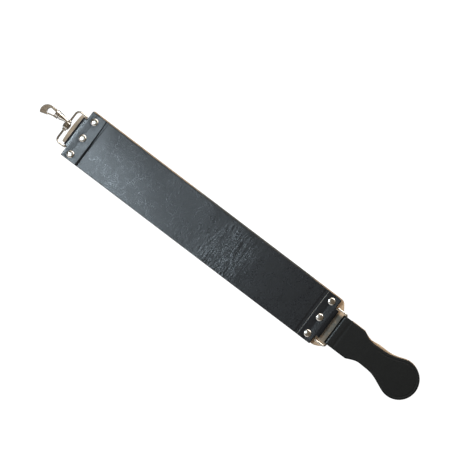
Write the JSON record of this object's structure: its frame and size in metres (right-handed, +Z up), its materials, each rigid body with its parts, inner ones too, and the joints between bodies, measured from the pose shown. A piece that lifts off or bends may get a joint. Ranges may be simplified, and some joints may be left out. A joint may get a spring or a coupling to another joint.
{
  "type": "razor strop",
  "caption": "Hanging two-ply leather razor strop: swivel snap hook on a wire ring, riveted end tabs, long honing strap and a paddle-shaped leather handle on a second ring.",
  "frame": {"origin": "on the floor under the middle of the whole object's box, the strop lying on its rear ply", "axes": "+X along the strap from the snap hook to the handle, +Y across the strap, +Z up out of the black honing face"},
  "size_m": [0.5516, 0.0646, 0.0118],
  "materials": {
    "black_leather": "satin black grain leather with a bluish sheen",
    "tan_leather": "natural tan leather with a raw edge",
    "handle_leather": "matte black leather",
    "core_leather": "raw leather stiffener",
    "nickel": "polished nickel plate",
    "spring_steel": "drawn spring wire"
  },
  "bodies": {
    "strap": {"front_strap": "black_leather", "rear_strap": "tan_leather", "top_tab": "black_leather", "bottom_tab": "black_leather", "rivet_front_top_left": "nickel", "rivet_front_top_middle": "nickel", "rivet_front_top_right": "nickel", "rivet_front_bottom_left": "nickel", "rivet_front_bottom_middle": "nickel", "rivet_front_bottom_right": "nickel", "rivet_back_top_left": "nickel", "rivet_back_top_middle": "nickel", "rivet_back_top_right": "nickel", "rivet_back_bottom_left": "nickel", "rivet_back_bottom_middle": "nickel", "rivet_back_bottom_right": "nickel"},
    "upper_ring": {"top_ring": "nickel"},
    "swivel": {"swivel_eye": "nickel", "swivel_stem": "nickel", "swivel_washer": "nickel"},
    "hook": {"hook_body": "nickel", "gate_pin": "nickel", "gate_spring": "spring_steel"},
    "hook_gate": {"gate": "nickel"},
    "lower_ring": {"bottom_ring": "nickel"},
    "handle": {"handle_front": "handle_leather", "handle_core": "core_leather", "handle_back": "tan_leather"}
  },
  "joints": [
    {"name": "top_ring_pivot", "type": "hinge", "parent": "strap", "child": "upper_ring", "pos_m": [-0.2258, -0.0006, 0.0063], "axis": [0, 1, 0], "range_deg": [0, 90]},
    {"name": "eye_pivot", "type": "hinge", "parent": "upper_ring", "child": "swivel", "pos_m": [-0.2393, -0.0006, 0.0063], "axis": [0, 1, 0], "range_deg": [-90, 75]},
    {"name": "hook_swivel", "type": "hinge", "parent": "swivel", "child": "hook", "pos_m": [-0.2536, 0.0032, 0.0063], "axis": [1, 0, 0], "continuous": true},
    {"name": "gate_pivot", "type": "hinge", "parent": "hook", "child": "hook_gate", "pos_m": [-0.2562, -0.0007, 0.0063], "axis": [0, 0, -1], "range_deg": [0, 28], "stiffness_Nm_per_rad": 0.02, "springref_deg": -28.65},
    {"name": "bottom_ring_pivot", "type": "hinge", "parent": "strap", "child": "lower_ring", "pos_m": [0.144, -0.002, 0.0063], "axis": [0, -1, 0], "range_deg": [0, 90]},
    {"name": "handle_pivot", "type": "hinge", "parent": "lower_ring", "child": "handle", "pos_m": [0.1586, -0.002, 0.0063], "axis": [0, -1, 0], "range_deg": [0, 75]}
  ]
}
